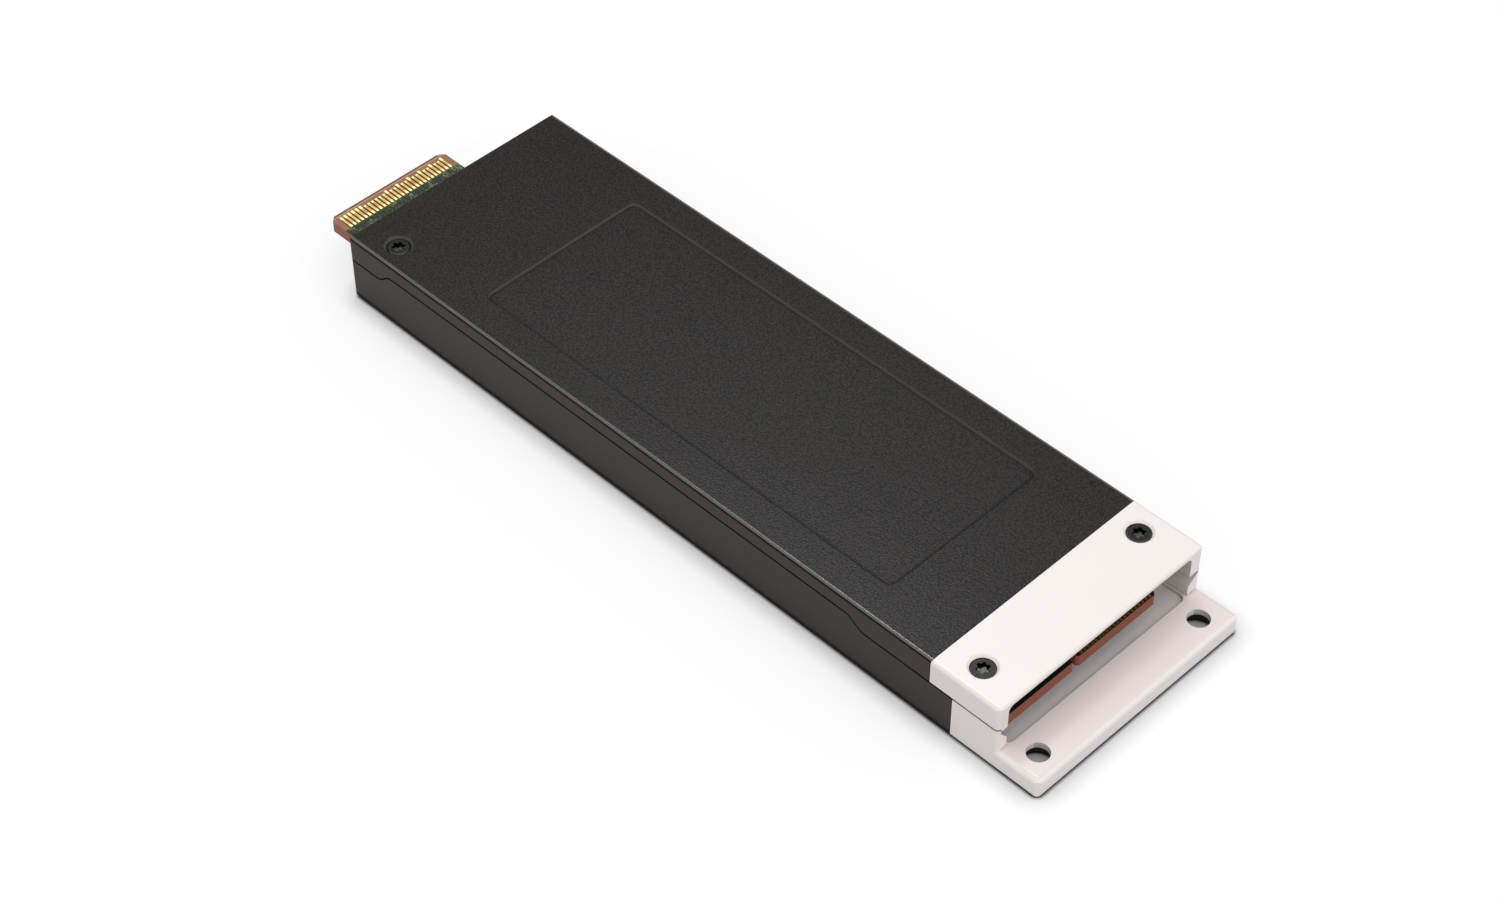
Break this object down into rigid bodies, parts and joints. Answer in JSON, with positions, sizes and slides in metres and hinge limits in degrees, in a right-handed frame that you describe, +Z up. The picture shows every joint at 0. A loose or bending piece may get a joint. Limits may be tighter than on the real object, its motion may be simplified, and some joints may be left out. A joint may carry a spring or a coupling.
{
  "type": "ruler ssd module",
  "caption": "Long flat solid-state drive module with a card edge at one end, a two-part case with a shallow label field, and a stepped latch end with a drilled tongue.",
  "frame": {"origin": "middle of the footprint on the underside", "axes": "+X along the module from the card edge to the latch-end tongue, +Y across it to the far side, +Z up through the cover"},
  "size_m": [0.1188, 0.0338, 0.0095],
  "materials": {
    "black_casting": "fine-grained black coat on a die casting",
    "white_casting": "smooth satin off-white coat",
    "laminate": "glass-fibre laminate with a dark green mask",
    "gold_plate": "gold plate",
    "black_steel": "black oxide steel",
    "package": "moulded black epoxy",
    "crystal_can": "plain metal can",
    "heat_pad": "soft grey pad",
    "ceramic_body": "fired ceramic",
    "capacitor_moulding": "moulded body with plated feet",
    "ferrite": "pressed ferrite"
  },
  "bodies": {
    "root": {"top_cover": "black_casting", "bottom_case": "black_casting", "latch_end_cap": "white_casting", "latch_end_bracket": "white_casting", "circuit_board": "laminate", "card_contacts_upper": "gold_plate", "card_contacts_lower": "gold_plate", "test_tab_contacts": "gold_plate", "cover_screw": "black_steel", "cap_screws": "black_steel", "controller": "package", "clock_crystal": "crystal_can", "controller_heat_pad": "heat_pad", "upper_heat_pad_near": "heat_pad", "upper_heat_pad_far": "heat_pad", "lower_heat_pad_near": "heat_pad", "lower_heat_pad_far": "heat_pad", "ceramic_capacitors_upper": "ceramic_body", "ceramic_capacitors_lower": "ceramic_body", "memory_package_1": "package", "memory_package_2": "package", "memory_package_3": "package", "memory_package_4": "package", "memory_package_5": "package", "memory_package_6": "package", "memory_package_7": "package", "memory_package_8": "package", "working_memory_1": "package", "working_memory_2": "package", "reserve_capacitor_1": "capacitor_moulding", "reserve_capacitor_2": "capacitor_moulding", "reserve_capacitor_3": "capacitor_moulding", "reserve_capacitor_4": "capacitor_moulding", "reserve_capacitor_5": "capacitor_moulding", "reserve_capacitor_6": "capacitor_moulding", "power_inductor_1": "ferrite", "power_inductor_2": "ferrite", "power_inductor_3": "ferrite", "power_regulator_1": "package", "power_regulator_2": "package"}
  },
  "joints": []
}
